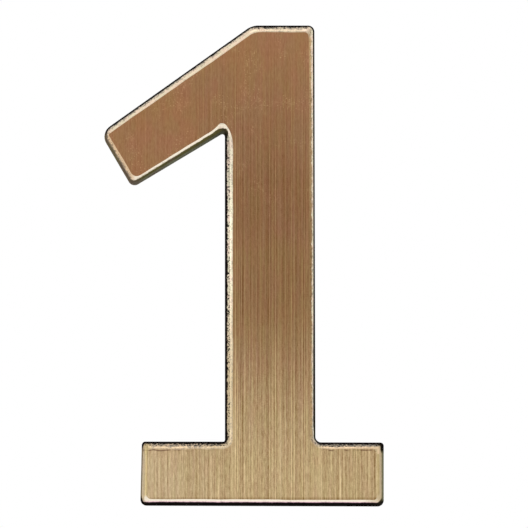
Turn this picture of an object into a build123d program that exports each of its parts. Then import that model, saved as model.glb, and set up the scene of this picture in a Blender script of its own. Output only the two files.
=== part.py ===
"""Self-adhesive house number: the numeral 1, cast in one piece with a drafted side wall and a
bevelled front edge, on a foam pad that sticks it to a door or a wall."""

from build123d import *
from math import cos, radians, sin, tan
import os

# All sizes are in millimetres and degrees. The numeral stands upright with its face towards -Y.
# The origin is on the pad's sticky side, at half height, behind the middle of the foot.
numeral_height = 50.0
foot_width = 25.2
foot_height = 6.65
stem_width = 9.3
stem_offset = 0.75
arm_root_drop = 11.05
arm_under_slope = 30.9
arm_under_length = 11.25
arm_end_width = 6.55
arm_top_slope = 35.3

# Depth: a foam pad against the wall, then the casting in front of it
pad_thickness = 0.8
pad_setback = 1.5
pad_corner_radius = 0.4
casting_depth = 4.2
wall_draft = 3.0
bevel_run = 0.5
bevel_depth = 0.5
bevel_roll_radius = 0.25

# Corner radii of the side wall at its back rim, going round the outline clockwise
shoulder_radius = 1.8
head_corner_radius = 0.65
right_notch_radius = 0.6
foot_top_radius = 0.35
foot_bottom_radius = 0.65
left_notch_radius = 0.2
armpit_radius = 0.3
arm_heel_radius = 0.7
arm_tip_radius = 1.3

# Corner radii where the flat face begins, on the corners that stick out
face_corner_radius = 0.45
face_tip_radius = 0.15
face_shoulder_radius = 1.8


def sharp_corners():
    """The rim's corners before rounding, anticlockwise as seen from the front."""
    top = numeral_height / 2
    bottom = -top
    stem_left = stem_offset - stem_width / 2
    stem_right = stem_offset + stem_width / 2
    foot_top = bottom + foot_height
    armpit = Vector(stem_left, top - arm_root_drop)
    along_arm = Vector(-cos(radians(arm_under_slope)), -sin(radians(arm_under_slope)))
    across_arm = Vector(-sin(radians(arm_under_slope)), cos(radians(arm_under_slope)))
    arm_heel = armpit + along_arm * arm_under_length
    arm_tip = arm_heel + across_arm * arm_end_width
    shoulder_x = arm_tip.X + (top - arm_tip.Y) / tan(radians(arm_top_slope))
    return [
        Vector(-foot_width / 2, bottom),
        Vector(foot_width / 2, bottom),
        Vector(foot_width / 2, foot_top),
        Vector(stem_right, foot_top),
        Vector(stem_right, top),
        Vector(shoulder_x, top),
        arm_tip,
        arm_heel,
        armpit,
        Vector(stem_left, foot_top),
        Vector(-foot_width / 2, foot_top),
    ]


def inset_corners(inset):
    """The sharp corners with every edge moved inwards by the inset."""
    corners = sharp_corners()
    moved = []
    for i, corner in enumerate(corners):
        arriving = (corner - corners[i - 1]).normalized()
        leaving = (corners[(i + 1) % len(corners)] - corner).normalized()
        inwards_before = Vector(-arriving.Y, arriving.X)
        inwards_after = Vector(-leaving.Y, leaving.X)
        miter = (inwards_before + inwards_after) / (1 + inwards_before.dot(inwards_after))
        moved.append(corner + miter * inset)
    return moved


def wall_radii(inset):
    """The corner radii up the side wall: corners that stick out keep theirs, and the notches
    widen as the wall draws in."""
    return [
        foot_bottom_radius,
        foot_bottom_radius,
        foot_top_radius,
        right_notch_radius + inset,
        head_corner_radius,
        shoulder_radius,
        arm_tip_radius,
        arm_heel_radius,
        armpit_radius + inset,
        left_notch_radius + inset,
        foot_top_radius,
    ]

def face_radii(inset):
    """The corner radii round the flat face."""
    return [
        face_corner_radius,
        face_corner_radius,
        face_corner_radius,
        right_notch_radius + inset,
        face_corner_radius,
        face_shoulder_radius,
        face_tip_radius,
        face_corner_radius,
        armpit_radius + inset,
        left_notch_radius + inset,
        face_corner_radius,
    ]


# Heights above the wall that the number is stuck to, and how far the wall has drawn in by then
back_height = pad_thickness
bevel_height = pad_thickness + casting_depth - bevel_depth
face_height = pad_thickness + casting_depth
bevel_inset = (bevel_height - back_height) * tan(radians(wall_draft))
face_inset = bevel_inset + bevel_run

# The casting: side wall drawn in by its draft, then the bevel up to the flat face
with BuildPart() as number_body:
    with BuildSketch(Plane.XZ.offset(back_height)):
        with BuildLine():
            FilletPolyline(*inset_corners(0), radius=wall_radii(0), close=True)
        make_face()
    with BuildSketch(Plane.XZ.offset(bevel_height)):
        with BuildLine():
            FilletPolyline(*inset_corners(bevel_inset), radius=wall_radii(bevel_inset), close=True)
        make_face()
    with BuildSketch(Plane.XZ.offset(face_height)):
        with BuildLine():
            FilletPolyline(*inset_corners(face_inset), radius=face_radii(face_inset), close=True)
        make_face()
    loft(ruled=True)
    wall_to_bevel = number_body.edges().filter_by_position(Axis.Y, -bevel_height, -bevel_height)
    fillet(wall_to_bevel, radius=bevel_roll_radius)

number_body.part.label = "number_body"

# The foam pad: the same outline set back from the rim, so that it is hidden from the front
with BuildPart() as adhesive_pad:
    with BuildSketch(Plane.XZ):
        with BuildLine():
            FilletPolyline(*inset_corners(pad_setback), radius=pad_corner_radius, close=True)
        make_face()
    extrude(amount=pad_thickness)

adhesive_pad.part.label = "adhesive_pad"

os.makedirs("parts", exist_ok=True)
export_step(number_body.part, "parts/number_body.step")
export_step(adhesive_pad.part, "parts/adhesive_pad.step")

for piece in (number_body, adhesive_pad):
    box = piece.part.bounding_box()
    print(piece.part.label, "volume", round(piece.part.volume, 1), "mm3, size", box.size)
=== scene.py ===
import math

import bmesh
import bpy
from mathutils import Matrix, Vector
from mathutils.kdtree import KDTree


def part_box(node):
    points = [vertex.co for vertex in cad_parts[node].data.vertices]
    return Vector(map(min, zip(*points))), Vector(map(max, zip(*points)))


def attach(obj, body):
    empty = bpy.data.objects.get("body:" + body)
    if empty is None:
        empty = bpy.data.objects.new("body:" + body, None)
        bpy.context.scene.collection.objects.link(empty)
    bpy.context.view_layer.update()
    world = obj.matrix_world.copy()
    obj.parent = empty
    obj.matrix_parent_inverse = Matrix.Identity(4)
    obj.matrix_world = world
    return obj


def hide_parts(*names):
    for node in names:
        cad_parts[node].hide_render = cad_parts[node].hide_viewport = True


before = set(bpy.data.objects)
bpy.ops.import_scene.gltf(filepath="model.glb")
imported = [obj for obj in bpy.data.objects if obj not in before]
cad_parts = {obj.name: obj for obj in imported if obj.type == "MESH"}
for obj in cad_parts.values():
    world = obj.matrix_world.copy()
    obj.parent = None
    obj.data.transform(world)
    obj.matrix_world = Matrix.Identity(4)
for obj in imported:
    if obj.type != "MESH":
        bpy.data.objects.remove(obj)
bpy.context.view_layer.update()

mm = 0.001

# The view: straight in front of the numeral and looking up by about a degree, from far away
# through a long lens, so that hardly any perspective shows.
camera_distance = 1.8
camera_rise = math.radians(1.3)
frame_width = 54.87 * mm
aim = Vector((0.16 * mm, -0.8 * mm, 0.205 * mm))
lens = bpy.data.cameras.new("camera")
lens.sensor_width = 36
lens.lens = lens.sensor_width * camera_distance / frame_width
lens.clip_end = 20
camera = bpy.data.objects.new("camera", lens)
camera.location = aim - Vector((0, math.cos(camera_rise), math.sin(camera_rise))) * camera_distance
camera.rotation_euler = (math.radians(90) + camera_rise, 0, 0)
bpy.context.collection.objects.link(camera)
bpy.context.scene.camera = camera
bpy.context.scene.view_settings.view_transform = "Standard"


# The studio: a white room that the camera and the metal see, lit softly from above on the left,
# with a pale floor well below the numeral, which hangs free as if held by its back.
class Socket:
    """A node's output, written in sums: each operator adds the Math node that works it out."""

    def __init__(self, finish, output):
        self.finish = finish
        self.output = output

    def math(self, operation, *values):
        return self.finish.add("ShaderNodeMath", {"operation": operation}, dict(enumerate(values)))

    def __add__(self, other):
        return self.math("ADD", self, other)

    def __radd__(self, other):
        return self.math("ADD", other, self)

    def __sub__(self, other):
        return self.math("SUBTRACT", self, other)

    def __rsub__(self, other):
        return self.math("SUBTRACT", other, self)

    def __mul__(self, other):
        return self.math("MULTIPLY", self, other)

    def __rmul__(self, other):
        return self.math("MULTIPLY", other, self)

    def __truediv__(self, other):
        return self.math("DIVIDE", self, other)

    def __abs__(self):
        return self.math("ABSOLUTE", self)

    def step(self, start, end):
        """0 before start and 1 past end, with a soft step between them."""
        ends = {"Value": self, "From Min": start, "From Max": end}
        return self.finish.add("ShaderNodeMapRange", {"interpolation_type": "SMOOTHSTEP"}, ends)


class Finish:
    """The nodes of one material or world. Each is added by its type, settings and inputs."""

    def __init__(self, owner):
        owner.use_nodes = True
        self.tree = owner.node_tree
        self.tree.nodes.clear()

    def add(self, kind, settings, inputs, output=0):
        node = self.tree.nodes.new(kind)
        for name, value in settings.items():
            setattr(node, name, value)
        for key, value in inputs.items():
            if isinstance(value, Socket):
                self.tree.links.new(value.output, node.inputs[key])
            else:
                node.inputs[key].default_value = value
        return Socket(self, node.outputs[output]) if node.outputs else None


def looked_at(finish):
    """1 for what is seen, directly or in a mirror or through glass, and 0 for what only lights."""
    ray = "ShaderNodeLightPath"
    seen = (
        finish.add(ray, {}, {}, "Is Camera Ray")
        + finish.add(ray, {}, {}, "Is Glossy Ray")
        + finish.add(ray, {}, {}, "Is Transmission Ray")
    )
    return seen.math("MINIMUM", seen, 1)


room_light = 0.8
world = bpy.data.worlds.new("white_room")
bpy.context.scene.world = world
room = Finish(world)
seen = looked_at(room)
strength = seen.math("MAXIMUM", seen, room_light)
white_room = room.add("ShaderNodeBackground", {}, {"Color": (1, 1, 1, 1), "Strength": strength})
room.add("ShaderNodeOutputWorld", {}, {"Surface": white_room})

# The floor shows nearly white, with a trace of shadow, and isn't there when seen from below
floor_drop = 0.12
floor_radius = 1.6
floor_glow = 0.95
bpy.ops.object.select_all(action="DESELECT")
bpy.ops.mesh.primitive_circle_add(
    vertices=96, radius=floor_radius, fill_type="NGON", location=(0, 0, -floor_drop)
)
floor = bpy.context.object
floor.name = "floor"
pale = bpy.data.materials.new("pale_floor")
ground = Finish(pale)
matt = ground.add("ShaderNodeBsdfDiffuse", {}, {"Color": (0.8, 0.8, 0.8, 1)})
glow = ground.add("ShaderNodeEmission", {}, {"Color": (1, 1, 1, 1), "Strength": 1})
glowing = looked_at(ground) * floor_glow
lit = ground.add("ShaderNodeMixShader", {}, {"Fac": glowing, 1: matt, 2: glow})
clear = ground.add("ShaderNodeBsdfTransparent", {}, {})
below = ground.add("ShaderNodeNewGeometry", {}, {}, "Backfacing")
top_only = ground.add("ShaderNodeMixShader", {}, {"Fac": below, 1: lit, 2: clear})
ground.add("ShaderNodeOutputMaterial", {}, {"Surface": top_only})
floor.data.materials.append(pale)


def soft_box(name, place, size, power):
    """A square lamp that faces the numeral and that the camera doesn't see."""
    lamp = bpy.data.lights.new(name, "AREA")
    lamp.size = size
    lamp.energy = power
    holder = bpy.data.objects.new(name, lamp)
    holder.location = place
    holder.rotation_euler = (-Vector(place)).to_track_quat("-Z", "Y").to_euler()
    holder.visible_camera = False
    bpy.context.collection.objects.link(holder)


soft_box("lamp_left", (-0.55, -0.35, 0.12), 0.45, 0.4)
soft_box("lamp_top", (-0.05, -0.30, 0.60), 0.45, 0.4)


# The numeral: one die casting in zinc alloy, plated, browned and then brushed up and down its
# face. Its edge is bevelled and buffed through to pale brass, and the side wall stays black.
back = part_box("number_body")[1].y
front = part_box("number_body")[0].y
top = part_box("number_body")[1].z
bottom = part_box("number_body")[0].z
foot_width = 25.2 * mm
foot_top = bottom + 6.65 * mm
stem_left = -3.9 * mm
stem_right = 5.4 * mm
armpit = top - 11.05 * mm
arm_under_slope = math.radians(30.9)
arm_under_length = 11.25 * mm
arm_end_width = 6.55 * mm
arm_top_slope = math.radians(35.3)
wall_draft = math.radians(3)
bevel_depth = 0.5 * mm
lip_roll = 0.13 * mm
face_roll = 0.20 * mm
face_ring = 0.1 * mm
column_width = 0.2 * mm
corner_steps = 8
smooth_below = math.radians(35)

# Corners and edges are picked by their place, within a hair. A side that has been moved in is
# picked by its middle, within the side's reach, and no side is shorter than the shortest.
hair = 0.01 * mm
side_reach = 1.5 * mm
shortest_side = 2 * mm

# Anticlockwise from the foot's bottom left: each corner's radius at the wall and at the face, and
# then, for the side that follows it, how far in the flat face begins.
corners = {
    "foot bottom left": (0.65, 0.60, 0.64),
    "foot bottom right": (0.65, 0.60, 0.69),
    "foot top right": (0.35, 0.60, 0.73),
    "right notch": (0.60, 1.30, 0.66),
    "head": (0.65, 0.60, 0.84),
    "shoulder": (1.80, 1.80, 0.73),
    "arm tip": (1.30, 0.35, 0.64),
    "arm heel": (0.70, 0.95, 0.68),
    "armpit": (0.30, 0.55, 0.82),
    "left notch": (0.20, 0.90, 0.83),
    "foot top left": (0.37, 0.60, 0.69),
}


def choose(kind, wanted):
    """Selects just those vertices, edges or faces of the mesh being edited that are wanted."""
    bpy.ops.mesh.select_mode(type=kind)
    bpy.ops.mesh.select_all(action="DESELECT")
    shape = bmesh.from_edit_mesh(bpy.context.edit_object.data)
    parts = {"VERT": shape.verts, "EDGE": shape.edges, "FACE": shape.faces}[kind]
    for part in parts:
        if not part.hide:
            part.select_set(wanted(part))
    bmesh.update_edit_mesh(bpy.context.edit_object.data)


def middle(edge):
    return (edge.verts[0].co + edge.verts[1].co) / 2


def close(place, other, reach=hair):
    return (place - other).length < reach


def round_walk(mesh):
    """The corners of the one face of the mesh, anticlockwise from the foot's bottom left."""
    loop = [mesh.vertices[i].co.copy() for i in mesh.polygons[0].vertices]
    first = loop.index(min(loop, key=lambda place: place.z * 10 + place.x))
    return loop[first:] + loop[:first]


# The blank: a foot, a stem pulled up out of it and an arm pulled out of the stem, then cut along
# the slope above the arm and across its end, and joined into one sharp-cornered face.
bpy.ops.object.select_all(action="DESELECT")
bpy.ops.mesh.primitive_plane_add(size=1, rotation=(math.radians(90), 0, 0))
blank = bpy.context.object
blank.name = "blank"
bpy.ops.object.transform_apply(location=False, rotation=True, scale=False)
bpy.ops.object.mode_set(mode="EDIT")
bpy.ops.transform.resize(value=(foot_width, 1, foot_top - bottom))
bpy.ops.transform.translate(value=(0, back, (foot_top + bottom) / 2))
for side in (stem_left, stem_right):
    bpy.ops.mesh.select_all(action="SELECT")
    bpy.ops.mesh.bisect(plane_co=(side, 0, 0), plane_no=(1, 0, 0))
root = Vector(((stem_left + stem_right) / 2, back, foot_top))
choose("EDGE", lambda edge: close(middle(edge), root))
for height in (armpit - foot_top, top - armpit):
    bpy.ops.mesh.extrude_region_move(TRANSFORM_OT_translate={"value": (0, 0, height)})
shoulder_side = Vector((stem_left, back, (armpit + top) / 2))
choose("EDGE", lambda edge: close(middle(edge), shoulder_side))
along_arm = Vector((-math.cos(arm_under_slope), 0, -math.sin(arm_under_slope)))
across_arm = Vector((-math.sin(arm_under_slope), 0, math.cos(arm_under_slope)))
uncut_arm = along_arm * arm_under_length * 1.6
bpy.ops.mesh.extrude_region_move(TRANSFORM_OT_translate={"value": uncut_arm})
heel = Vector((stem_left, back, armpit)) + along_arm * arm_under_length
tip = heel + across_arm * arm_end_width
above_arm = Vector((-math.sin(arm_top_slope), 0, math.cos(arm_top_slope)))
bpy.ops.mesh.select_all(action="SELECT")
bpy.ops.mesh.bisect(plane_co=tip, plane_no=above_arm, clear_outer=True)
choose("FACE", lambda face: face.calc_center_median().x < stem_left and face.calc_center_median().z > 0)
bpy.ops.mesh.bisect(plane_co=heel, plane_no=along_arm, clear_outer=True)
bpy.ops.mesh.select_all(action="SELECT")
bpy.ops.mesh.remove_doubles(threshold=hair)
bpy.ops.mesh.dissolve_limited(angle_limit=math.radians(1))
bpy.ops.object.mode_set(mode="OBJECT")

# The casting isn't quite true: how far some corners lie off that drawing, in mm along X and Z
strays = {
    "foot bottom left": (-0.09, 0.09),
    "right notch": (0.10, 0.02),
    "foot top left": (0.07, 0.10),
    "left notch": (0.0, 0.09),
    "armpit": (-0.01, -0.06),
    "arm heel": (0.02, -0.05),
    "arm tip": (0.06, 0.02),
}
drawn = dict(zip(corners, round_walk(blank.data)))
bpy.ops.object.mode_set(mode="EDIT")
for name, (along_x, along_z) in strays.items():
    choose("VERT", lambda vertex: close(vertex.co, drawn[name]))
    bpy.ops.transform.translate(value=(along_x * mm, 0, along_z * mm))
bpy.ops.object.mode_set(mode="OBJECT")
walk = round_walk(blank.data)
sides = [(walk[i], walk[(i + 1) % len(walk)]) for i in range(len(walk))]
unshifted = [0] * len(corners)


def outline(inset, height, radii, shifts=unshifted, nudges=()):
    """A closed line of edges at that height in front of the wall: the blank's outline moved in by
    the inset, and by each side's own shift, with some corners nudged, all corners rounded and the
    sides divided."""
    line = blank.copy()
    line.data = blank.data.copy()
    bpy.context.collection.objects.link(line)
    bpy.ops.object.select_all(action="DESELECT")
    line.select_set(True)
    bpy.context.view_layer.objects.active = line
    bpy.ops.object.mode_set(mode="EDIT")
    bpy.ops.mesh.select_all(action="SELECT")
    if inset:
        bpy.ops.mesh.inset(thickness=inset, use_even_offset=True)
        choose("FACE", lambda face: len(face.verts) == 4)
        bpy.ops.mesh.delete(type="FACE")
    for (start, end), shift in zip(sides, shifts):
        run = (end - start).normalized()
        inwards = Vector((-run.z, 0, run.x))
        centre = (start + end) / 2 + inwards * inset
        choose("EDGE", lambda edge: close(middle(edge), centre, side_reach))
        bpy.ops.transform.translate(value=inwards * shift)
    bpy.ops.object.mode_set(mode="OBJECT")
    places = round_walk(line.data)
    bpy.ops.object.mode_set(mode="EDIT")
    for i, name in enumerate(corners):
        if name in nudges:
            choose("VERT", lambda vertex: close(vertex.co, places[i]))
            bpy.ops.transform.translate(value=nudges[name])
            places[i] = places[i] + nudges[name]
    for i, radius in enumerate(radii):
        here = places[i]
        half = (places[i - 1] - here).angle(places[(i + 1) % len(places)] - here) / 2
        choose("VERT", lambda vertex: close(vertex.co, here))
        bpy.ops.mesh.bevel(
            offset=radius / math.tan(half), segments=corner_steps, profile=0.5, affect="VERTICES"
        )
    for i, (start, end) in enumerate(sides):
        centre = (places[i] + places[(i + 1) % len(places)]) / 2
        choose(
            "EDGE",
            lambda edge: edge.calc_length() > shortest_side
            and close(middle(edge), centre, side_reach),
        )
        bpy.ops.mesh.subdivide(number_cuts=round((end - start).length / column_width))
    bpy.ops.mesh.select_all(action="SELECT")
    bpy.ops.transform.translate(value=(0, -height, 0))
    bpy.ops.mesh.delete(type="ONLY_FACE")
    bpy.ops.object.mode_set(mode="OBJECT")
    return line


def joined(lines, name):
    """Makes one piece of some outlines and leaves it open for modelling."""
    bpy.ops.object.select_all(action="DESELECT")
    for line in lines:
        line.select_set(True)
    bpy.context.view_layer.objects.active = lines[0]
    bpy.ops.object.join()
    lines[0].name = name
    bpy.ops.object.mode_set(mode="EDIT")
    return lines[0]


def choose_lines(*places):
    """Selects the lines of edges that lie whole at those places along Y."""
    choose(
        "EDGE",
        lambda edge: any(
            all(abs(vertex.co.y - place) < hair for vertex in edge.verts) for place in places
        ),
    )


def close_shape():
    """Turns all faces of the open piece outwards, ends its modelling and smooths its soft edges."""
    bpy.ops.mesh.select_all(action="SELECT")
    bpy.ops.mesh.normals_make_consistent(inside=False)
    bpy.ops.object.mode_set(mode="OBJECT")
    bpy.ops.object.shade_smooth_by_angle(angle=smooth_below)


# The skin: three such outlines, at the wall, where the bevel starts and round the face, bridged
# and then rolled over where they meet, as casting and buffing leave them.
wall_height = back - front
bevel_inset = (wall_height - bevel_depth) * math.tan(wall_draft)
wall_radii = [value[0] * mm for value in corners.values()]
face_radii = [value[1] * mm for value in corners.values()]
bevel_radii = [wall * 0.75 + face * 0.25 for wall, face in zip(wall_radii, face_radii)]
face_insets = [value[2] * mm - face_roll for value in corners.values()]
mean_inset = sum(face_insets) / len(face_insets)
face_shifts = [inset - mean_inset for inset in face_insets]
# Along the arm's underside the bevel widens towards the armpit
slant = {
    "arm heel": across_arm * -0.10 * mm,
    "armpit": Vector((0, 0, 0.13 * mm)),
}
levels = [
    outline(0, 0, wall_radii),
    outline(bevel_inset, wall_height - bevel_depth, bevel_radii),
    outline(mean_inset, wall_height, face_radii, face_shifts, slant),
]
numeral = joined(levels, "numeral")
bevel_start = front + bevel_depth
for pair in ((back, bevel_start), (bevel_start, front)):
    choose_lines(*pair)
    bpy.ops.mesh.bridge_edge_loops()
choose_lines(bevel_start)
bpy.ops.mesh.bevel(offset=lip_roll, segments=5, profile=0.5, affect="EDGES")
choose_lines(front)
bpy.ops.mesh.edge_face_add()
choose_lines(front)
bpy.ops.mesh.bevel(offset=face_roll, segments=6, profile=0.5, affect="EDGES")
choose("FACE", lambda face: face.normal.y < -0.999 and len(face.verts) > 4)
bpy.ops.mesh.inset(thickness=face_ring, use_even_offset=True)

# The stem's bevel narrows as it comes up into the armpit: the face's corner there is pulled out
# over it, and the edges beside it follow less and less. The wall and the lip's roll stay.
lip_end = bevel_start - 0.2 * mm
face_corner = Vector((stem_left + 0.54 * mm, front, armpit + 0.78 * mm))
corner_size = 0.5 * mm
corner_pull = Vector((-0.50 * mm, 0, 0.03 * mm))
corner_fade = 2.0 * mm
choose("VERT", lambda vertex: vertex.co.y > lip_end)
bpy.ops.mesh.hide(unselected=False)
choose("VERT", lambda vertex: close(vertex.co, face_corner, corner_size))
bpy.ops.transform.translate(
    value=corner_pull,
    use_proportional_edit=True,
    proportional_edit_falloff="SHARP",
    proportional_size=corner_fade,
)
bpy.ops.mesh.reveal(select=False)
choose_lines(back)
bpy.ops.mesh.edge_face_add()
close_shape()

# The buffing wheel has left the edge of the face a little wavy, most of all along the foot's top
wavy = "wavy"
wave_height = 0.35 * mm
waviness = numeral.vertex_groups.new(name=wavy)
for vertex in numeral.data.vertices:
    if vertex.co.y < lip_end:
        by_foot_top = abs(vertex.co.z - foot_top) < 1.3 * mm
        off_stem = not stem_left - mm < vertex.co.x < stem_right + mm
        weight = 1.0 if by_foot_top and off_stem else 0.35
        waviness.add([vertex.index], weight, "REPLACE")
for axis, length in (("X", 2.3 * mm), ("Z", 3.1 * mm)):
    waves = bpy.data.textures.new("waves", "CLOUDS")
    waves.noise_scale = length
    ripple = numeral.modifiers.new("ripple", "DISPLACE")
    ripple.texture = waves
    ripple.direction = axis
    ripple.vertex_group = wavy
    ripple.strength = wave_height
    bpy.ops.object.modifier_apply(modifier=ripple.name)


# Marks of the handwork, and of painted light where noted. Each side's bevel goes from the black lip,
# where the wall's finish ends, through an outer part with the cast grain still in it, to an inner part
# that is buffed smooth.
# Places are in mm in from the rim. Tones and shares go from 0, dull or none, to about 1.
usual = {
    "lip_from": 0.20,
    "lip_to": 0.30,
    "inner_from": 0.30,
    "inner_to": 0.60,
    "outer_tone": 0.1,
    "inner_tone": 0.9,
    "outer_buffed": 1.0,
    "inner_buffed": 0.85,
    "pitted": 0.6,
    "rubbed_and_lit": 0.0,
    "peach": 0.0,
    "white": 0.0,
    "green": 0.0,
}
handwork_and_light = {
    # The bottom: its white brass and tones above 1 are painted reflection of bright light from below
    "bottom": {
        "lip_from": 0.325,
        "lip_to": 0.42,
        "inner_from": 0.38,
        "inner_to": 0.46,
        "outer_tone": 0.8,
        "inner_tone": 1.10,
        "inner_buffed": 1.0,
        "pitted": 0.15,
        "white": 1.0,
    },
    "foot right end": {
        "lip_from": 0.20,
        "lip_to": 0.28,
        "outer_tone": 0.5,
        "outer_buffed": 0.45,
        "inner_buffed": 0.0,
        "pitted": 0.1,
        "rubbed_and_lit": 0.8,
        "green": 0.7,
    },
    "foot top right": {
        "lip_to": 0.36,
        "inner_from": 0.38,
        "inner_to": 0.70,
        "outer_tone": 0.0,
        "inner_tone": 0.85,
        "inner_buffed": 0.65,
        "pitted": 1.2,
        "peach": 0.8,
    },
    # The stem's right side: its bright outer part is a painted highlight, and its dull khaki inner part
    # is painted shade
    "stem right": {
        "lip_from": -0.25,
        "lip_to": -0.05,
        "inner_from": 0.26,
        "inner_to": 0.35,
        "outer_tone": 1.0,
        "inner_tone": 0.30,
        "outer_buffed": 0.95,
        "inner_buffed": 0.0,
        "pitted": 0.45,
        "rubbed_and_lit": 0.04,
    },
    "head top": {
        "lip_from": 0.26,
        "lip_to": 0.43,
        "inner_from": 0.30,
        "inner_to": 0.62,
        "inner_tone": 0.75,
        "inner_buffed": 0.8,
        "pitted": 0.8,
        "peach": 0.4,
    },
    "arm top": {
        "lip_from": 0.23,
        "lip_to": 0.34,
        "inner_from": 0.26,
        "inner_to": 0.48,
        "inner_tone": 1.00,
        "pitted": 0.5,
        "peach": 0.2,
    },
    "arm end": {
        "lip_from": 0.22,
        "lip_to": 0.34,
        "inner_from": 0.34,
        "inner_to": 0.42,
        "outer_tone": 0.35,
        "inner_tone": 1.10,
        "outer_buffed": 0.8,
        "inner_buffed": 0.8,
        "pitted": 0.5,
        "rubbed_and_lit": 0.65,
        "peach": 1.0,
    },
    # The arm's underside: its white brass and tones above 1 are painted reflection of bright light from
    # below, and its light wall is partly rubbed and partly painted reflection
    "arm underside": {
        "lip_from": 0.37,
        "lip_to": 0.43,
        "inner_from": 0.44,
        "inner_to": 0.50,
        "outer_tone": 0.8,
        "inner_tone": 1.05,
        "inner_buffed": 1.0,
        "pitted": 0.15,
        "rubbed_and_lit": 0.72,
        "white": 0.9,
        "green": 1.0,
    },
    "stem left": {
        "lip_from": 0.23,
        "lip_to": 0.33,
        "inner_from": 0.28,
        "inner_to": 0.42,
        "outer_tone": 1.2,
        "inner_tone": 0.90,
        "inner_buffed": 0.95,
        "pitted": 1.15,
    },
    "foot top left": {
        "lip_from": 0.25,
        "lip_to": 0.36,
        "inner_from": 0.34,
        "inner_to": 0.70,
        "outer_tone": 0.3,
        "inner_tone": 0.75,
        "inner_buffed": 0.7,
        "pitted": 1.2,
        "peach": 0.8,
    },
    "foot left end": {
        "lip_from": -0.75,
        "lip_to": -0.3,
        "outer_tone": 0.75,
        "inner_tone": 0.5,
        "outer_buffed": 0.3,
        "inner_buffed": 0.0,
        "pitted": 0.1,
        "rubbed_and_lit": 1.0,
    },
}


def reach(place, start, end):
    """How far a place lies from a line between two others, all seen from the front."""
    run = end - start
    share = max(0, min(1, (place - start).dot(run) / run.length_squared))
    return (place - start - run * share).length


def mark(piece):
    """Gives each vertex its place across the edge, in mm, and its share of the handwork and painted
    light. That place is how far in from the rim it lies, less how far down the wall it is from the
    bevel. Near a corner the marks of both sides mix."""
    seen = [Vector((vertex.co.x, vertex.co.z)) for vertex in piece.data.vertices]
    rim = [seen[v.index] for v in piece.data.vertices if abs(v.co.y - back) < hair]
    nearest = KDTree(len(rim))
    for i, place in enumerate(rim):
        nearest.insert((place.x, place.y, 0), i)
    nearest.balance()
    flat_sides = [[Vector((end.x, end.z)) for end in side] for side in sides]
    marks = {name: [] for name in ("inset", *usual)}
    for vertex, place in zip(piece.data.vertices, seen):
        pair = nearest.find_n((place.x, place.y, 0), 2)
        down_wall = max(0, vertex.co.y - bevel_start)
        marks["inset"].append((reach(place, rim[pair[0][1]], rim[pair[1][1]]) - down_wall) / mm)
        weights = [1 / (reach(place, *side) / mm + 0.1) ** 4 for side in flat_sides]
        for name in usual:
            values = [change.get(name, usual[name]) for change in handwork_and_light.values()]
            parts = [weight * value for weight, value in zip(weights, values)]
            marks[name].append(sum(parts) / sum(weights))
    for name, values in marks.items():
        layer = piece.data.attributes.new(name, "FLOAT", "POINT")
        layer.data.foreach_set("value", values)


mark(numeral)


def colour(red, green, blue):
    """A colour as it shows on a screen, 0 to 255, turned into the light that the shaders add up."""
    shown = [value / 255 for value in (red, green, blue)]
    return (*[v / 12.92 if v <= 0.04045 else ((v + 0.055) / 1.055) ** 2.4 for v in shown], 1)


# The face: its ground stays on the screen's scale, because its lines shift it there
brown = (141, 104, 70)
head_brown = (156, 114, 77)
khaki = (187, 162, 119)
light_khaki = (194, 170, 130)
crease_shade_brown = colour(110, 78, 58)

# The bevel: khaki where it is as worn as the face, and brass where it is buffed
edge_khaki = colour(168, 142, 99)
bright_khaki = colour(202, 169, 124)
end_khaki = colour(186, 166, 114)
dull_brass = colour(137, 131, 121)
pale_brass = colour(247, 233, 207)
pink_brass = colour(249, 226, 204)
green_brass = colour(240, 232, 203)
khaki_brass = colour(206, 186, 150)
peach_brass = colour(233, 203, 166)
white_brass = colour(255, 244, 224)

# The wall: black with brown in it, and khaki to olive where it is rubbed and where painted reflection
# lightens it
wall_black = colour(15, 11, 12)
wall_brown = colour(38, 31, 27)
rubbed_lit_wall = colour(140, 126, 92)
green_wall = colour(152, 152, 124)
olive_wall = colour(124, 117, 68)
purple_wall = colour(128, 106, 98)

# These only tint what is under them
plain = (1, 1, 1, 1)
olive_tint = (1.0, 1.05, 0.99, 1)
yellow_tint = (1.0, 1.0, 0.93, 1)
mauve_tint = (1.0, 0.97, 1.04, 1)
green_tint = (0.98, 1.03, 1.0, 1)
red_tint = (1.02, 0.965, 1.0, 1)
purple_tint = (1.0, 0.72, 1.0, 1)


def blend(finish, start, end, share, clamped=True):
    """A colour part of the way from one to another, or past them where it isn't clamped."""
    settings = {"data_type": "RGBA", "clamp_factor": clamped}
    return finish.add("ShaderNodeMix", settings, {0: share, 6: start, 7: end}, 2)


def scaled(finish, tint, amount):
    return finish.add("ShaderNodeVectorMath", {"operation": "SCALE"}, {"Vector": tint, "Scale": amount})


def multiplied(finish, tint, other):
    settings = {"data_type": "RGBA", "blend_type": "MULTIPLY"}
    return finish.add("ShaderNodeMix", settings, {0: 1.0, 6: tint, 7: other}, 2)


def grain(finish, across, depth, along, seed, detail=2.0, roughness=0.5):
    """Cloudy noise about 0.5 whose marks are about that many mm wide, deep and long."""
    place = finish.add("ShaderNodeTexCoord", {}, {}, "Object")
    scale = tuple(1 / (size * mm) for size in (across, depth, along))
    moved = {"Vector": place, "Scale": scale, "Location": (seed, seed, seed)}
    place = finish.add("ShaderNodeMapping", {}, moved)
    sockets = {"Vector": place, "Scale": 1.0, "Detail": detail, "Roughness": roughness}
    return finish.add("ShaderNodeTexNoise", {}, sockets)


def named(finish, name):
    return finish.add("ShaderNodeAttribute", {"attribute_name": name}, {}, "Fac")


brass = bpy.data.materials.new("antique_brass")
metal = Finish(brass)
spot = metal.add("ShaderNodeTexCoord", {}, {}, "Object")
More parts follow.
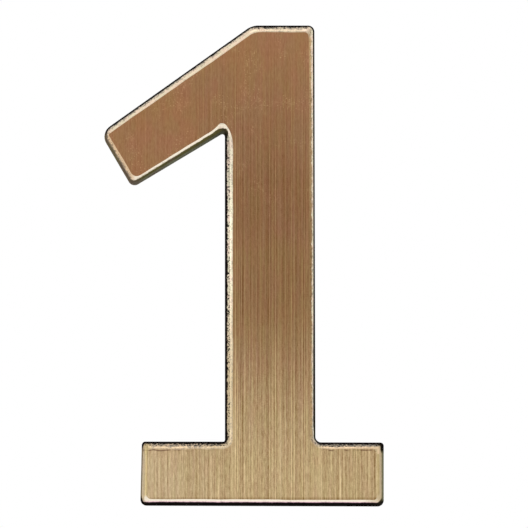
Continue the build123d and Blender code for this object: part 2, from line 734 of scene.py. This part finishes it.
# Places in mm: x to the right of the foot's middle, y from 0 behind the pad to less than 0 at the
# face, and z up from half the height
x, y, z = [metal.add("ShaderNodeSeparateXYZ", {}, {"Vector": spot}, axis) / mm for axis in "XYZ"]
inset = named(metal, "inset")
marks = {name: named(metal, name) for name in usual}

# The face: brown above and khaki at the foot, partly from wear and partly painted light that is
# brighter below, brushed up and down in lines that are darker and lighter than the ground and
# that show more towards the foot. Zones are shares from 0 to 1, and their limits are places in mm.
stem_middle = (stem_left + stem_right) / 2 / mm
foot_top_place = foot_top / mm
# Lighter towards the foot: partly wear, partly painted light
worn_and_lit = z.step(-2, -23)
arm = x.step(-3, -9) * (1 - worn_and_lit)
head = z.step(8, 27)
head = head.math("MAXIMUM", head, arm)
foot_left = z.step(-16, -19) * x.step(-3, -10)
foot_right = z.step(-16, -19) * x.step(5, 9)
beside_stem = abs(x - stem_middle).step(5.4, 5.8)


def face_tone(shift):
    """The face's colours, all darker or lighter by that much on the screen's scale."""
    def shade(tint):
        return colour(*[value + shift for value in tint])

    upper = blend(metal, shade(brown), shade(head_brown), head)
    lower = blend(metal, shade(khaki), shade(light_khaki), foot_left)
    return blend(metal, upper, lower, worn_and_lit)


def strands(width, length, seed):
    """Straight lines up and down, about 0, each fading in and out over about that length in mm."""
    line = grain(metal, width, 5, 400, seed, 0.0) - 0.5
    line = line.math("MAXIMUM", line, -0.17)
    return line * grain(metal, width * 2, 5, length, seed + 1, 0.0).step(0.25, 0.65)


def threads(width, length, seed):
    """A few single lines up and down, from 0 to 1, each ending after about that length in mm."""
    line = grain(metal, width, 5, 400, seed, 1.0).step(0.58, 0.72)
    return line * grain(metal, width * 2, 5, length, seed + 1, 0.0).step(0.42, 0.58)


def combed(spacing, length, seed):
    """Lines up and down, about 0, at about that spacing in mm, fading in and out over that length."""
    phase = x * (2 * math.pi / spacing) + grain(metal, spacing * 1.5, 5, 400, seed, 0.0) * 9
    return phase.math("SINE", phase) * grain(metal, 0.8, 5, length, seed + 1, 0.0).step(0.3, 0.65)


strokes = strands(0.11, 6, 3) * 2.7 + strands(0.24, 4, 13) * 1.3 + combed(0.43, 5, 33) * 0.14
light_threads = (threads(0.26, 11, 83) + threads(0.2, 7, 87) * 0.9) * (0.42 + worn_and_lit * 0.5)
dark_threads = threads(0.24, 12, 91) * 0.15
flecks = (grain(metal, 0.15, 5, 0.9, 17, 2.0, 0.7) - 0.5) * 3.2
broad = grain(metal, 1.1, 5, 60, 11, 1.0) - 0.5
grit = grain(metal, 0.1, 0.1, 0.1, 23, 1.0) - 0.5
ticks = grain(metal, 0.13, 5, 0.5, 19, 1.0) - 0.5
# The lines grow stronger towards the foot: painted light, as the brighter light there brings them out
lit_contrast = 0.1 + (1 - head) * 0.53 + arm * 0.13 + z.step(9, -3) * 0.25 + z.step(-4, -12) * 0.30
lit_contrast = lit_contrast - z.step(-21, -24) * 0.15 - foot_left * 0.24 + foot_right * 0.3
lines = (strokes + light_threads - dark_threads + broad * 0.55 + grit * 0.9) * lit_contrast
lines = lines + flecks * (0.18 + worn_and_lit * 0.42) + ticks * (0.4 + worn_and_lit * 0.3)

# Fine pale scratches and specks, in clusters, on the arm and the upper stem
cluster = grain(metal, 2.5, 5, 3.0, 43, 1.0).step(0.5, 0.6) * z.step(4, 9)
scratch = 1 - abs(grain(metal, 0.8, 5, 1.3, 41, 1.0) - 0.5).step(0.005, 0.03)
dust = grain(metal, 0.15, 5, 0.15, 47, 0.0).step(0.66, 0.74)
lines = lines + (scratch * 0.18 + dust * 0.6) * cluster

# The face is lighter in a strip along the stem's left side and darker in a zone across the stem and
# on the arm. Just above the foot's lower edge it is darker still: painted shade beside the bevel
light_strip_place = stem_left / mm + 0.95
darkest_place = 6.8
light_strip = (1 - abs(x - light_strip_place).step(0.1, 0.3)) * z.step(14, 12)
dark_zone = 1 - abs(z - darkest_place).step(1.5, 5)
lower_edge_shade = z.step(-24.0, -24.2)
lines = lines + light_strip * 0.22 - lower_edge_shade * 0.45 - dark_zone * 0.08 - arm * 0.05
face = blend(metal, face_tone(-24), face_tone(24), lines + 0.515, False)

# Its hue wanders too: olive half-way up the stem, and yellow to mauve and green to red all over,
# in patches on the head and along the lines below it
olive_zone = z.step(4, 0) * z.step(-10, -4)
face = multiplied(metal, face, blend(metal, plain, olive_tint, olive_zone))
even = 1 - worn_and_lit * 0.4
warmth = grain(metal, 0.35, 5, 10, 59, 1.0) * (0.6 - head * 0.3)
warmth = warmth + grain(metal, 3.5, 5, 5, 61, 2.0) * (0.4 + head * 0.3)
warmth = (warmth - lines * 0.15).step(0.35, 0.65) * even + worn_and_lit * 0.2
face = multiplied(metal, face, blend(metal, yellow_tint, mauve_tint, warmth))
redness = grain(metal, 0.3, 5, 2.5, 63, 2.0) * (0.6 - head * 0.35)
redness = redness + grain(metal, 1.5, 5, 3, 67, 1.0) * (0.4 + head * 0.35)
redness = (redness - lines * 0.13).step(0.38, 0.62) * even + worn_and_lit * 0.2
face = multiplied(metal, face, blend(metal, green_tint, red_tint, redness))

# A broken line of painted shade runs below the foot's two upper edges
crease_place = foot_top_place - 0.85
wander = (grain(metal, 1.4, 5, 9, 71, 1.0) - 0.5) * 0.6
crease_shade = 1 - abs(z - crease_place + wander).step(0.03, 0.11)
crease_gap = x.step(-8.8, -7.5) * x.step(-4, -5)
unbroken = grain(metal, 1.1, 5, 9, 73, 2.0).step(0.42, 0.52)
crease_shade = crease_shade * beside_stem * (1 - crease_gap * 0.8) * unbroken
face = blend(metal, face, crease_shade_brown, crease_shade * 0.75)

# Zones of the bevel and the wall
edge_place = foot_top_place - 0.55
on_stem = z.step(-17.5, -16.5) * z.step(24.5, 23.5)
on_left = on_stem * x.step(-2.5, -3.0) * x.step(-4.8, -4.4) * z.step(14, 13)
on_right = on_stem * x.step(4.0, 4.6)
on_under = marks["green"] * z.step(0, 4)
on_foot_top = abs(z - edge_place).step(0.75, 0.6) * beside_stem
on_wall = inset.step(0.15, -0.3)
on_bevel = y.step(front / mm, front / mm + 0.001)
on_back = y.step(back / mm - 0.03, back / mm - 0.01)
in_armpit = z.step(9, 13) * z.step(15, 14.4) * x.step(-2.5, -3.0) * x.step(-4.5, -4.1)
arch_top = z.step(13.5, 14.1) * z.step(16, 15) * x.step(-5.4, -4.8) * x.step(-3.2, -3.7)
at_heel = z.step(9.2, 8.6) * z.step(0, 4) * x.step(-9, -10)
left_notch = z.step(-15.5, -17) * z.step(-20.5, -19.5) * x.step(-2, -2.5) * x.step(-6.5, -4.5)
head_corner = (x + z).step(28.2, 29.0)
foot_end = z.step(-15, -17) * abs(x).step(11.3, 11.7)
left_half = x.step(1, -1)
right_half = x.step(-1, 1)
upper_left_corner = z.step(-19.9, -19.3) * z.step(-15, -17) * x.step(-11.3, -12.0)
lower_left_corner = z.step(-23.8, -24.15) * x.step(-11.3, -11.9)
lower_right_corner = z.step(-23.7, -24.0) * x.step(10.4, 11.6)

# At the foot's corners the black of the wall comes round on to the ends, less far at two of them
foot_middle = foot_top_place - 3.35
black_corner = abs(z - foot_middle) - left_half * z.step(-22, -21) * 0.4
black_corner = black_corner - right_half * z.step(-21, -22) * 0.3
black_corner = black_corner.step(2.1, 2.6) * z.step(-15, -17) * abs(x).step(11.8, 12.4)

# The lip: the cast grain makes the end of the wall's black ragged, and it lies further in at the
# corners, along the lower right side, on the arm's underside and in the armpit
dullest_place = 2.4
speck = grain(metal, 0.19, 0.19, 0.19, 5, 2.0, 0.7) - 0.5
patch = grain(metal, 0.5, 0.5, 0.5, 9, 1.0) - 0.5
unevenness = speck * 0.26 * marks["pitted"] + patch * (0.06 + marks["pitted"] * 0.14)
ragged = inset + unevenness * (1 + on_wall * 3)
ragged = ragged - black_corner * (0.16 + z.step(-22, -23) * 0.14 + on_wall * 3)
ragged = ragged + on_left * (z.step(7, 9) * 0.07 + z.step(-5, -9) * 0.02)
ragged = ragged - on_left * (1 - abs(z - dullest_place).step(2, 5)) * 0.02
ragged = ragged - on_right * (z.step(8, -12) * 0.37 - z.step(8, 14) * 0.1)
ragged = ragged - on_under * (x * 0.014 + 0.14) - at_heel * 0.08
ragged = ragged - in_armpit * 0.05 - arch_top * 0.1
bare = ragged.step(marks["lip_from"], marks["lip_to"])

# Across the bevel: how bright the brass is, and how much of it the buffing has bared
further_in = on_right * (z.step(14, 20) + z.step(0, -10)) * 0.05
inner = inset - further_in + (speck * 0.3 + patch * 0.4) * (0.3 + marks["pitted"])
inner = inner.step(marks["inner_from"], marks["inner_to"])
tone = marks["outer_tone"] * (1 - inner) + (marks["inner_tone"] + patch * 0.8) * inner
buffed = marks["outer_buffed"] * (1 - inner) + marks["inner_buffed"] * inner
# Painted light on the outer part of the stem's left bevel, under the arm where the arm shades it and
# low on the stem, less half-way up
painted_fill = z.step(8.5, 10) * 0.9 + z.step(-5, -12) * 0.42
painted_fill = painted_fill - (1 - abs(z - dullest_place).step(2, 6)) * 0.18
# Painted light and shade on the right side's bevel: lighter at some heights, darker low down
lit_right = z.step(5, 1) * 0.15 + z.step(5, 16) * 0.2 + z.step(16, 22) * 0.25
tone = tone + on_left * painted_fill * (1 - inner)
tone = tone + on_right * (lit_right - z.step(-8, -17) * 0.3) + head_corner * 0.2
buffed = (buffed + head_corner * 0.4) * (1 - upper_left_corner * 0.7)

# The buffed brass: cream that wanders to pink and green, and leans to khaki, peach or white
flush = grain(metal, 0.6, 0.6, 0.9, 53, 1.0)
pinkish = blend(metal, pale_brass, pink_brass, flush.step(0.52, 0.62))
cream = blend(metal, green_brass, pinkish, flush.step(0.38, 0.48))
cream = blend(metal, cream, khaki_brass, on_left * z.step(3, -14))
cream = blend(metal, cream, peach_brass, marks["peach"])
cream = blend(metal, cream, khaki_brass, left_notch * 0.8)
# Whiter on the bottom and the arm's underside: painted reflection of bright light from below
cream = blend(metal, cream, white_brass, marks["white"])
smooth = blend(metal, dull_brass, cream, tone + speck * 2.0 * (0.25 + marks["pitted"]))
tarnished = marks["white"] * inset.step(0.47, 0.40) * z.step(-20, -23)
smooth = multiplied(metal, smooth, blend(metal, plain, purple_tint, tarnished))

# Where it isn't buffed the bevel is much like the face, but lighter at the foot's ends. Along parts
# of the right side it is khaki instead of cream: painted shade on brass that faces away from the lamps
at_ends = z.step(3, 8) * 0.45 + z.step(17, 21) * 0.4 + z.step(-4, -14) * 0.6
edge_share = 0.3 + on_right * at_ends * (0.75 - inset.step(0.5, 0.62))
edge_share = edge_share + foot_end * (0.2 - left_half * (0.5 - inset.step(0.2, 0.36) * 0.6))
edge_tint = blend(metal, edge_khaki, bright_khaki, on_right * at_ends)
edge_tint = blend(metal, edge_tint, end_khaki, foot_end)
near_face = blend(metal, face, edge_tint, edge_share)
bevel = blend(metal, near_face, smooth, buffed)
bevel = blend(metal, bevel, khaki_brass, lower_right_corner * 0.5)
bevel = blend(metal, bevel, white_brass, lower_left_corner * inset.step(0.38, 0.46) * 0.8)

# A painted highlight wanders along the foot's upper right edge, and the cast grain leaves dark pits
line_wander = (grain(metal, 1.7, 5, 9, 77, 1.0) - 0.5) * 0.5
highlight_line = 1 - abs(inset + line_wander - 0.60).step(0.04, 0.13)
bevel = blend(metal, bevel, peach_brass, highlight_line * on_foot_top * x.step(1, 5) * 0.75)
pock = grain(metal, 0.17, 0.17, 0.17, 31, 0.0).step(0.59, 0.64)
pits = pock * marks["pitted"] * (1 - inset.step(0.42, 0.62)) * (1.0 - in_armpit * 0.4)
bevel = scaled(metal, bevel, 1 - pits)

# In the armpit and just below it the bevel shines less like metal, so that the lamps light it more:
# painted light against the shade there
shade_fill = on_left * z.step(4, 9) * on_bevel * (0.5 + in_armpit * 0.3)
polished = metal.add(
    "ShaderNodeBsdfPrincipled",
    {},
    {
        "Base Color": blend(metal, face, bevel, on_bevel),
        "Metallic": 1 - shade_fill,
        "Roughness": 0.36 + on_bevel * (0.19 - inner * 0.27),
    },
)

# The wall: a matt black with brown clouds in it, lighter at the ends and under the arm, partly rubbed
# through and partly painted reflection of the pale floor
mottled = grain(metal, 0.9, 0.9, 0.9, 101, 3.0, 0.6).step(0.35, 0.68)
blacks = blend(metal, wall_black, wall_brown, mottled * (0.45 + on_back * 0.3))
olive_lip = blend(metal, green_wall, olive_wall, inset.step(-0.6, 0.25))
rubbed_and_lit = blend(metal, rubbed_lit_wall, olive_lip, marks["green"])
browned = grain(metal, 2.2, 2.2, 2.2, 107, 1.0).step(0.5, 0.62) * x.step(-5.5, -8)
browned = browned.math("MAXIMUM", browned, at_heel)
rubbed_and_lit = blend(metal, rubbed_and_lit, purple_wall, browned * 0.6)
rubbing_and_light = marks["rubbed_and_lit"] * (1 - black_corner) * (1 - on_back) * (0.8 + mottled * 0.3)
wall = blend(metal, blacks, rubbed_and_lit, rubbing_and_light)
cast_grain = grain(metal, 0.16, 0.16, 0.16, 103, 3.0, 0.7)
rough_cast = metal.add(
    "ShaderNodeBump", {}, {"Strength": 0.6, "Distance": 0.05 * mm, "Height": cast_grain}
)
blackened = metal.add(
    "ShaderNodeBsdfPrincipled",
    {},
    {
        "Base Color": wall,
        "Metallic": 0.0,
        "Roughness": 0.6,
        "Specular IOR Level": 0.0,
        "Normal": rough_cast,
    },
)
both = metal.add("ShaderNodeMixShader", {}, {"Fac": bare, 1: blackened, 2: polished})
metal.add("ShaderNodeOutputMaterial", {}, {"Surface": both})
numeral.data.materials.clear()
numeral.data.materials.append(brass)
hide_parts("number_body")
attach(numeral, "root")

# The adhesive pad: black foam tape, die-cut a little smaller than the numeral and stuck on its
# back. Its paper liner is off, and the bare glue on the wall side shines.
pad_setback = 1.5 * mm
pad_corner_radius = 0.4 * mm
pad_thickness = -back
soft_edge = 0.06 * mm
pad_radii = [pad_corner_radius] * len(corners)
pad_levels = [
    outline(pad_setback + drawn_in, height - pad_thickness, pad_radii)
    for drawn_in, height in (
        (soft_edge, 0),
        (0, soft_edge * 2),
        (0, pad_thickness - soft_edge * 2),
        (soft_edge, pad_thickness),
    )
]
bpy.data.objects.remove(blank)
pad = joined(pad_levels, "foam_pad")
pad_places = (0, -soft_edge * 2, soft_edge * 2 - pad_thickness, -pad_thickness)
for pair in zip(pad_places, pad_places[1:]):
    choose_lines(*pair)
    bpy.ops.mesh.bridge_edge_loops()
for place in (0, -pad_thickness):
    choose_lines(place)
    bpy.ops.mesh.edge_face_add()
close_shape()

foam_black = colour(44, 43, 45)
foam_cell = colour(22, 21, 23)
glue_black = colour(52, 51, 54)
foam = bpy.data.materials.new("adhesive_foam")
tape = Finish(foam)
tape_spot = tape.add("ShaderNodeTexCoord", {}, {}, "Object")
depth = tape.add("ShaderNodeSeparateXYZ", {}, {"Vector": tape_spot}, "Y") / mm
on_glue = depth.step(-0.03, -0.01)
cells = grain(tape, 0.12, 0.12, 0.12, 111, 1.0)
clouds = grain(tape, 2.2, 2.2, 2.2, 113, 2.0)
foam_tint = blend(tape, foam_cell, foam_black, cells.step(0.35, 0.55) * 0.8 + clouds * 0.3)
glue_tint = blend(tape, foam_black, glue_black, clouds.step(0.35, 0.65))
cell_height = cells * (1 - on_glue * 0.7)
cell_bump = tape.add(
    "ShaderNodeBump", {}, {"Strength": 0.7, "Distance": 0.04 * mm, "Height": cell_height}
)
sticky = tape.add(
    "ShaderNodeBsdfPrincipled",
    {},
    {
        "Base Color": blend(tape, foam_tint, glue_tint, on_glue),
        "Roughness": 0.85 - on_glue * (0.5 + clouds * 0.2),
        "Normal": cell_bump,
    },
)
tape.add("ShaderNodeOutputMaterial", {}, {"Surface": sticky})
pad.data.materials.clear()
pad.data.materials.append(foam)
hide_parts("adhesive_pad")
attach(pad, "root")
